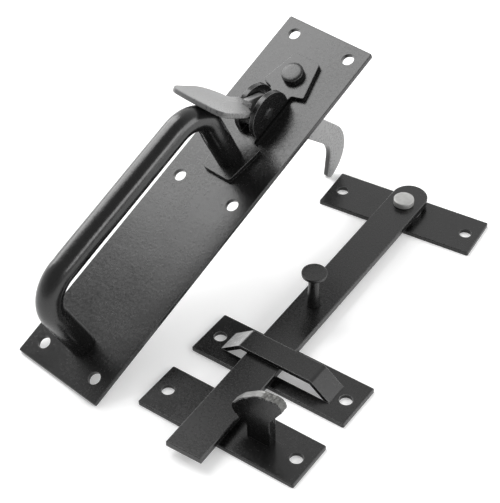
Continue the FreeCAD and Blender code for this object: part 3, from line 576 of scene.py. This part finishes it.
def press_outline():
    """Half the press from arcs that touch one another: a nearly straight front, a corner
    inside it, a straight side, a round shoulder, and a hollow outside the shoulder that
    ends at the neck. The other half is its mirror image."""
    corner_across = PRESS_HALF - PRESS_CORNER
    corner_reach = PRESS_FRONT - PRESS_CORNER
    corner_way = math.degrees(math.acos(corner_across / corner_reach))
    corner_ahead = PRESS_LONG - PRESS_FRONT + corner_reach * math.sin(math.radians(corner_way))
    shoulder_across = PRESS_HALF - PRESS_SHOULDER
    hollow_across = PRESS_NECK + PRESS_HOLLOW
    hollow_reach = PRESS_SHOULDER + PRESS_HOLLOW
    hollow_way = -math.degrees(math.acos((hollow_across - shoulder_across) / hollow_reach))
    hollow_ahead = SHOULDER_AHEAD + hollow_reach * math.sin(math.radians(hollow_way))
    half = np.vstack([
        arc((0, PRESS_LONG - PRESS_FRONT), PRESS_FRONT, 90, corner_way, 20),
        arc((corner_across, corner_ahead), PRESS_CORNER, corner_way, 0, 20),
        arc((shoulder_across, SHOULDER_AHEAD), PRESS_SHOULDER, 0, hollow_way, 40),
        arc((hollow_across, hollow_ahead), PRESS_HOLLOW, hollow_way + 180, 180, 14),
        [(PRESS_NECK, 0.0)],
    ])
    return np.vstack([half[::-1], half[1:] * (-1, 1)])


def press_surface():
    """The press as a plate with a filed edge. The thumb's wear has hollowed its upper face, by
    a bell curve of the distance from the hollow's middle, and the whole plate waves a
    little, but no place rises past the flat of the upper face."""
    outline = even_steps(press_outline(), 260)
    across, ahead, up = plate_surface(outline, PRESS_MIDDLE, -PRESS_THICK, 0.0, PRESS_EDGE)
    hollow = WORN_DEEP * (up > WORN_ABOVE) * np.exp(
        -(across / WORN_HALF_WIDE) ** 2 - ((ahead - WORN_AHEAD) / WORN_HALF_LONG) ** 2)
    wave = BOWED * (unevenness(5, 7, 26.0, across, ahead) - 1)
    up = np.minimum(up - hollow + wave, 0.0)
    return on_handle(
        LEVER_ACROSS + across,
        PRESS_ROOT[0] + ahead * press_ahead[0] + up * press_up[0],
        PRESS_ROOT[1] + ahead * press_ahead[1] + up * press_up[1],
    )


# The press's lighter grey is a painted reflection of the white table in its face.
press_painted_reflection = satin_paint("press_painted_reflection", 0.075, 0.115, 0.30, wear_and_highlight_grey=0.20, shine=0.8)
press = skin("press", press_surface(), press_painted_reflection)
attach(press, "lever")
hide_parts("thumb_press")


def degrees_to(start, end):
    """The direction from one flat place to another, in degrees."""
    return math.degrees(math.atan2(end[1] - start[1], end[0] - start[0]))


def touching(centre, radius, other, other_radius):
    """Where the line that has both circles on its left touches them, as two places. A
    negative radius puts that circle on the line's right."""
    side = math.radians(degrees_to(centre, other) - 90) + math.asin(
        (radius - other_radius) / math.dist(centre, other))
    out = np.array((math.cos(side), math.sin(side)))
    return centre + out * radius, other + out * other_radius


def boss_lean(place):
    """How far a line from the place that touches the boss leans from the line to its
    middle, in degrees: the angle whose tangent is the boss's radius over the first line."""
    reach = math.sqrt(math.dist(place, PIN) ** 2 - BOSS ** 2)
    return math.degrees(math.atan2(BOSS, reach))


def lever_sides():
    """The lever's two long edges, both from the press to the hook's tip: the outer one over
    the boss and round the hook's back, the inner one down to the boss, a little back along
    it inside the bracket, and round the hook's throat."""
    hook_out_radius = math.dist(TIP, HOOK_OUT) + TIP_ROUND
    seat = PRESS_ROOT - press_up * PRESS_THICK
    nose_top = seat + press_ahead * NOSE_LONG
    nose_low = nose_top - press_up * NOSE_DEEP - press_ahead * NOSE_SLANT
    outer_start, outer_end = touching(HOOK_OUT, hook_out_radius, PIN, BOSS)
    inner_start, inner_end = touching(PIN, BOSS, HOOK_IN, -HOOK_IN_RADIUS)
    throat_start, throat_end = touching(HOOK_IN, -HOOK_IN_RADIUS, TIP, TIP_ROUND)
    top_angle = degrees_to(PIN, PRESS_ROOT) + boss_lean(PRESS_ROOT) - 90
    low_angle = degrees_to(nose_low, PIN) + boss_lean(nose_low) - 90
    tip_way = degrees_to(HOOK_OUT, TIP)
    back_from = degrees_to(HOOK_OUT, outer_start)
    while back_from < tip_way:
        back_from += 360
    throat_from = degrees_to(HOOK_IN, inner_end)
    throat_to = degrees_to(HOOK_IN, throat_start)
    while throat_to > throat_from:
        throat_to -= 360
    tip_from = degrees_to(TIP, throat_end)
    while tip_from > tip_way:
        tip_from -= 360
    tip_middle = (tip_from + tip_way) / 2
    outer = np.vstack([
        [nose_top], [seat], [PRESS_ROOT],
        arc(PIN, BOSS, top_angle, degrees_to(PIN, outer_end), 24),
        arc(HOOK_OUT, hook_out_radius, back_from, tip_way, 60),
        arc(TIP, TIP_ROUND, tip_way, tip_middle, 8)[1:],
    ])
    inner = np.vstack([
        [nose_low],
        arc(PIN, BOSS, low_angle, degrees_to(PIN, inner_start), 16),
        arc(HOOK_IN, HOOK_IN_RADIUS, throat_from, throat_to, 50),
        arc(TIP, TIP_ROUND, tip_from, tip_middle, 8)[1:],
    ])
    return outer, inner


def lever_surface():
    """Cross-sections between the two edges, matched by their share of the length: each is
    a rectangle of the plate's thickness whose four corners are rounded a little."""
    outer, inner = [even_steps(side, 240, closed=False) for side in lever_sides()]
    half = LEVER_THICK / 2
    turn = np.radians(np.linspace(0, 90, CORNER_POINTS - 1))
    inset = np.concatenate([[FACE_INSET], LEVER_EDGE * (1 - np.sin(turn))])
    lift = np.concatenate([[half], half - LEVER_EDGE * (1 - np.cos(turn))])
    wide = np.linalg.norm(inner - outer, axis=1)[:, None]
    step = (inner - outer) / np.maximum(wide, 1e-6)
    reach = np.minimum(inset[None], wide * NARROW_SHARE)
    outer_ring = outer[:, None] + step[:, None] * reach[..., None]
    inner_ring = inner[:, None] - step[:, None] * reach[..., None]
    flat = np.concatenate(
        [outer_ring, outer_ring[:, ::-1], inner_ring, inner_ring[:, ::-1]], axis=1)
    side = np.concatenate([lift, -lift[::-1], -lift, lift[::-1]])
    return on_handle(LEVER_ACROSS - side[None], flat[..., 0], flat[..., 1])


# The lever's lighter grey is a painted reflection of the white table in its sides.
lever_painted_reflection = satin_paint("lever_painted_reflection", 0.17, 0.23, 0.30, wear_and_highlight_grey=0.28, shine=0.8)
lever_places = lever_surface()
lever = skin("lever", lever_places, lever_painted_reflection)
# The throat's inner wall takes a dark copy of the paint without the painted reflection, so the two
# are a lit and an unlit copy of one black paint.
lever.data.materials.append(satin_paint("throat_paint", 0.01, 0.02, 0.32, wear=0.0))
inner_wall = np.arange(lever_places.shape[1]) == 3 * CORNER_POINTS - 1
finish = np.append(np.tile(inner_wall, lever_places.shape[0] - 1), [False, False])
lever.data.polygons.foreach_set("material_index", finish.astype(np.int32))
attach(lever, "lever")
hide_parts("thumb_lever")

# The weld between them: a bead on each side of the lever, in the corner under the press.
# Each was run in one pass, drop by drop, and painted over without being ground.

BEAD_START = 2.0
BEAD_END = 8.4
BEAD_RADIUS = 1.15
BEAD_OUT = 0.15
DROP_SWELL = 0.09
DROPS = 5.7


def bead_surface(side):
    """A circle carried along the corner of lever and press. Its radius swells and falls
    with each drop of the weld and shrinks to nothing at both ends of the run."""
    run = np.linspace(BEAD_START, BEAD_END, 90)[:, None]
    share = (run - (BEAD_START + BEAD_END) / 2) / ((BEAD_END - BEAD_START) / 2)
    drops = 1 + DROP_SWELL * np.sin(run * DROPS)
    thick = BEAD_RADIUS * np.sqrt(np.clip(1 - share ** 6, 0.0004, 1)) * drops
    thick = thick * (1 + 0.07 * unevenness(41 + side, 6, 2.5, run))
    around = np.linspace(0, math.tau, 24, endpoint=False)[None, :]
    seat = PRESS_ROOT - press_up * (PRESS_THICK + BEAD_OUT)
    lift = thick * np.sin(around)
    return on_handle(
        LEVER_ACROSS + side * (LEVER_THICK / 2 + BEAD_OUT) + thick * np.cos(around),
        seat[0] + run * press_ahead[0] + lift * press_up[0],
        seat[1] + run * press_ahead[1] + lift * press_up[1],
    )


weld_paint = satin_paint("weld_paint", 0.02, 0.06, 0.34, wear=0.0, peel=1.0)
for side, name in ((-1, "weld_left"), (1, "weld_right")):
    bead = skin(name, bead_surface(side), weld_paint)
    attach(bead, "lever")

# The pivot plate, its washer and its rivet. The plate is sheared from 1 inch strip. The
# rivet is bare steel, set with a hammer after the pieces are painted.

PIVOT_SHANK = 3.0
PIVOT_HEAD = 5.1
PIVOT_SEAT = 7.6
PIVOT_WALL = 10.0
PIVOT_TOP = 10.88
PIVOT_STRUCK = 10.5


def worked_steel(name, tint, rough):
    """Bare steel with the marks of the hammer: small dents and a cloudy sheen."""
    material, tree, shader, place = new_material(name)
    cloud = noise(tree, place, 450.0, 3.0)
    dull = tuple(channel * 0.85 for channel in tint)
    tree.links.new(shades(tree, cloud, dull, tint, 0.35, 0.7), shader.inputs["Base Color"])
    tree.links.new(bump(tree, cloud, 0.25, 0.0001), shader.inputs["Normal"])
    shader.inputs["Metallic"].default_value = 0.6
    shader.inputs["Roughness"].default_value = rough
    return material


strip_paint = satin_paint("strip_paint", 0.004, 0.008, 0.26, wear_and_highlight_grey=0.12)
finish_node("pivot_plate", strip_paint)
finish_node("pivot_washer", strip_paint)

pivot_profile = rivet_profile(PIVOT_SHANK, PIVOT_HEAD, PIVOT_SEAT, PIVOT_WALL, PIVOT_TOP)
pivot_places = np.stack(turned_surface(pivot_profile, 17, 0.03, PIVOT_STRUCK), axis=-1) / 1000
steel = worked_steel("rivet_steel", (0.45, 0.45, 0.44), 0.45)
pivot_rivet = skin("pivot_head", pivot_places, steel)
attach(pivot_rivet, "fixed_set")
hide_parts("pivot_rivet")

# The latch bar and its knob. The bar is 17.8 by 3 mm flat, rounded at the pivot end. The
# knob is turned from round bar, with a flat disc on a tapering stem, and riveted through.

BAR_LEVEL = 4.45
BAR_THICK = 3.0
BAR_TURN = math.radians(-81.25)
KNOB_REACH = 85.2
KNOB_TENON = 2.3
STEM_FOOT = 3.1
STEM_THROAT = 2.6
THROAT_LEVEL = 19.6
DISC_RADIUS = 5.9
DISC_UNDER = 21.6
DISC_TOP = 23.0
DISC_ROUND = 0.4
DISC_STRUCK = 22.9
DISC_RINGS = [3.6, 2.0, POLE_RADIUS]
STEM_SOFT = 0.1
STEM_BASE = 1.0


def knob_profile():
    """The knob's half-section from its tenon to the middle of its disc, as radii and
    levels: the stem tapers to a throat, flares out under the disc along a quarter of an
    oval, and the disc's upper rim is a quarter circle."""
    turn = np.linspace(0, math.pi / 2, 7)
    radii = np.concatenate([
        [KNOB_TENON - SHANK_CHAMFER, KNOB_TENON, KNOB_TENON],
        [STEM_FOOT - STEM_SOFT, STEM_FOOT, STEM_FOOT],
        DISC_RADIUS - (DISC_RADIUS - STEM_THROAT) * np.cos(turn),
        DISC_RADIUS - DISC_ROUND * (1 - np.cos(turn)),
        DISC_RINGS,
    ])
    levels = np.concatenate([
        [BACK_GAP, SHANK_CHAMFER, BAR_THICK],
        [BAR_THICK, BAR_THICK + STEM_SOFT, BAR_THICK + STEM_BASE],
        THROAT_LEVEL + (DISC_UNDER - THROAT_LEVEL) * np.sin(turn),
        DISC_TOP - DISC_ROUND * (1 - np.sin(turn)),
        np.full(len(DISC_RINGS), DISC_TOP),
    ])
    return radii, levels


finish_node("latch_bar", satin_paint("bar_paint", 0.004, 0.008, 0.26, wear_and_highlight_grey=0.18))

across, away, level = turned_surface(knob_profile(), 23, 0.02, DISC_STRUCK)
reach = KNOB_REACH + across
knob_places = np.stack([
    reach * math.cos(BAR_TURN) - away * math.sin(BAR_TURN),
    reach * math.sin(BAR_TURN) + away * math.cos(BAR_TURN),
    BAR_LEVEL + level,
], axis=-1) / 1000
knob = skin("knob", knob_places, satin_paint("knob_paint", 0.006, 0.012, 0.26, wear=0.0))
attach(knob, "bar")
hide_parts("bar_knob")

# The staple. One strip like the pivot plate's, slit twice, with the strap between the
# slits pressed up for the bar. The side of the strap's left leg that faces the left lights
# carries a painted highlight, a lighter grey laid into the paint.

# The place and the way of the painted highlight on the strap's left leg, whose side faces the left
# lights.
LEFT_LEG = (0.0011, -0.1229, 0.0065)
LEFT_WAY = (-0.98, -0.12, 0.0)

finish_node("staple", satin_paint(
    "staple_paint", 0.004, 0.008, 0.26, wear_and_highlight_grey=0.42, wear=0.7, painted_highlight=(LEFT_LEG, LEFT_WAY),
))

# The keep. A plate of the same strip with a thick hook riveted through it. The hook is
# sheared from 4.4 mm plate, and its cut rim is unpainted and torn behind the crown. The upper
# rim's light grey is partly a painted highlight, and the torn part's darker grey a painted shade.

KEEP_PLACE = (30.0, -158.7)
KEEP_TURN = math.radians(7.2)
HOOK_NEAR = -1.5
HOOK_FAR = 2.9
HOOK_MIDDLE = np.array((15.4, 17.0))
HOOK_EDGE = 0.3
HOOK_WALL_ROWS = 16
HOOK_CORNERS = [
    (10.95, 0.0, 0.4), (19.95, 0.0, 0.4), (19.95, 2.0, 0.4), (21.4, 2.0, 0.4),
    (21.4, 17.5, 6.0), (27.6, 27.5, 2.4), (25.4, 31.3, 3.0), (15.45, 30.4, 12.0),
    (6.22, 23.4, 12.0), (1.6, 17.2, 2.4), (1.6, 14.5, 2.4), (5.55, 9.4, 1.6),
    (9.5, 9.4, 1.6), (9.5, 2.0, 0.4), (10.95, 2.0, 0.4),
]
SHEARED_ABOVE = 10.0
# The rim's lighter steel above this height is partly a painted highlight.
LIGHT_RIM_ABOVE = 17.5
TORN_ABOVE = 22.0
TORN_FROM = 16.5
TORN_FADE = 2.5
# From this distance across, the torn rim's darker steel is a painted shade.
SHADED_RIM_FROM = 16.8
SHEAR_BACK = 0.10
SHEAR_WAVE = 0.07
TORN_DEEP = 0.275

finish_node("keep_plate", strip_paint)


def rounded_corners(corners):
    """A closed outline from corners, each with its own radius: a circle that touches both
    sides takes the corner's place."""
    runs = []
    for place, (across_here, up_here, radius) in enumerate(corners):
        here = np.array((across_here, up_here))
        come = here - np.array(corners[place - 1][:2])
        leave = np.array(corners[(place + 1) % len(corners)][:2]) - here
        come = come / np.linalg.norm(come)
        leave = leave / np.linalg.norm(leave)
        turn = math.acos(float(np.clip(come @ leave, -1, 1)))
        inward = (leave - come) / np.linalg.norm(leave - come)
        centre = here + inward * radius / math.cos(turn / 2)
        start = degrees_to(centre, here - come * radius * math.tan(turn / 2))
        end = degrees_to(centre, here + leave * radius * math.tan(turn / 2))
        end += 360 * round((start - end) / 360)
        runs.append(arc(centre, radius, start, end, 14))
    return np.vstack(runs)


def hook_surface():
    """The hook as a plate along its outline, as rings of places across, up and away. Its
    rim is cut back towards the hook's middle: by a shallow wave where it is sheared, and
    behind the crown by the sum of a coarse and a fine unevenness, where it is torn."""
    outline = even_steps(rounded_corners(HOOK_CORNERS), 420)
    across, up, away = plate_surface(
        outline, HOOK_MIDDLE, HOOK_NEAR, HOOK_FAR, HOOK_EDGE, wall_rows=HOOK_WALL_ROWS)
    out_across = across - HOOK_MIDDLE[0]
    out_up = up - HOOK_MIDDLE[1]
    out_far = np.hypot(out_across, out_up)
    ring = np.arange(across.shape[0])[:, None]
    past_faces = (ring >= FACE_SPREAD.size) & (ring < ring.size - FACE_SPREAD.size)
    rim = past_faces & (up > SHEARED_ABOVE)
    torn = np.clip((across - TORN_FROM) / TORN_FADE, 0, 1) * (up > TORN_ABOVE)
    coarse = unevenness(31, 14, 2.4, across, up, away * 1.4)
    fine = unevenness(32, 14, 1.0, across, up, away)
    sheared = unevenness(33, 8, 1.6, away * 1.2, 0.15 * across)
    torn_back = torn * TORN_DEEP * (1 + coarse + 0.6 * fine)
    cut_back = rim * (SHEAR_BACK + torn_back + (1 - torn) * SHEAR_WAVE * (1 + sheared))
    return across - cut_back * out_across / out_far, up - cut_back * out_up / out_far, away


def rim_steel_and_painted_light(across, up):
    """Each face's finish by its place: 1 where the wall's rim is unpainted steel, lighter in
    part as a painted highlight, 2 where it is torn as well and darker as a painted shade,
    and 0 for paint on the rest."""
    ring = np.arange(across.shape[0] - 1)[:, None]
    wall_start = FACE_SPREAD.size + BEND_RINGS - 1
    on_wall = (ring >= wall_start) & (ring <= wall_start + HOOK_WALL_ROWS)
    bare_and_lit_rim = on_wall & (up[:-1] > LIGHT_RIM_ABOVE)
    torn = bare_and_lit_rim & (across[:-1] > SHADED_RIM_FROM) & (up[:-1] > TORN_ABOVE)
    return np.append((bare_and_lit_rim * 1 + torn).ravel(), [0, 0]).astype(np.int32)


across, up, away = hook_surface()
hook_places = np.stack([
    KEEP_PLACE[0] + across * math.cos(KEEP_TURN) - away * math.sin(KEEP_TURN),
    KEEP_PLACE[1] + across * math.sin(KEEP_TURN) + away * math.cos(KEEP_TURN),
    up,
], axis=-1) / 1000
keep_hook = skin("hook", hook_places, satin_paint("keep_paint", 0.004, 0.008, 0.26))
# The rim's lighter steel is partly a painted highlight, and the darker torn steel is a painted
# shade.
keep_hook.data.materials.append(worked_steel("cut_steel_painted_highlight", (0.21, 0.21, 0.205), 0.34))
keep_hook.data.materials.append(worked_steel("torn_steel_painted_shade", (0.11, 0.11, 0.105), 0.50))
keep_hook.data.polygons.foreach_set("material_index", rim_steel_and_painted_light(across, up))
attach(keep_hook, "fixed_set")
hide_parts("keep_hook")
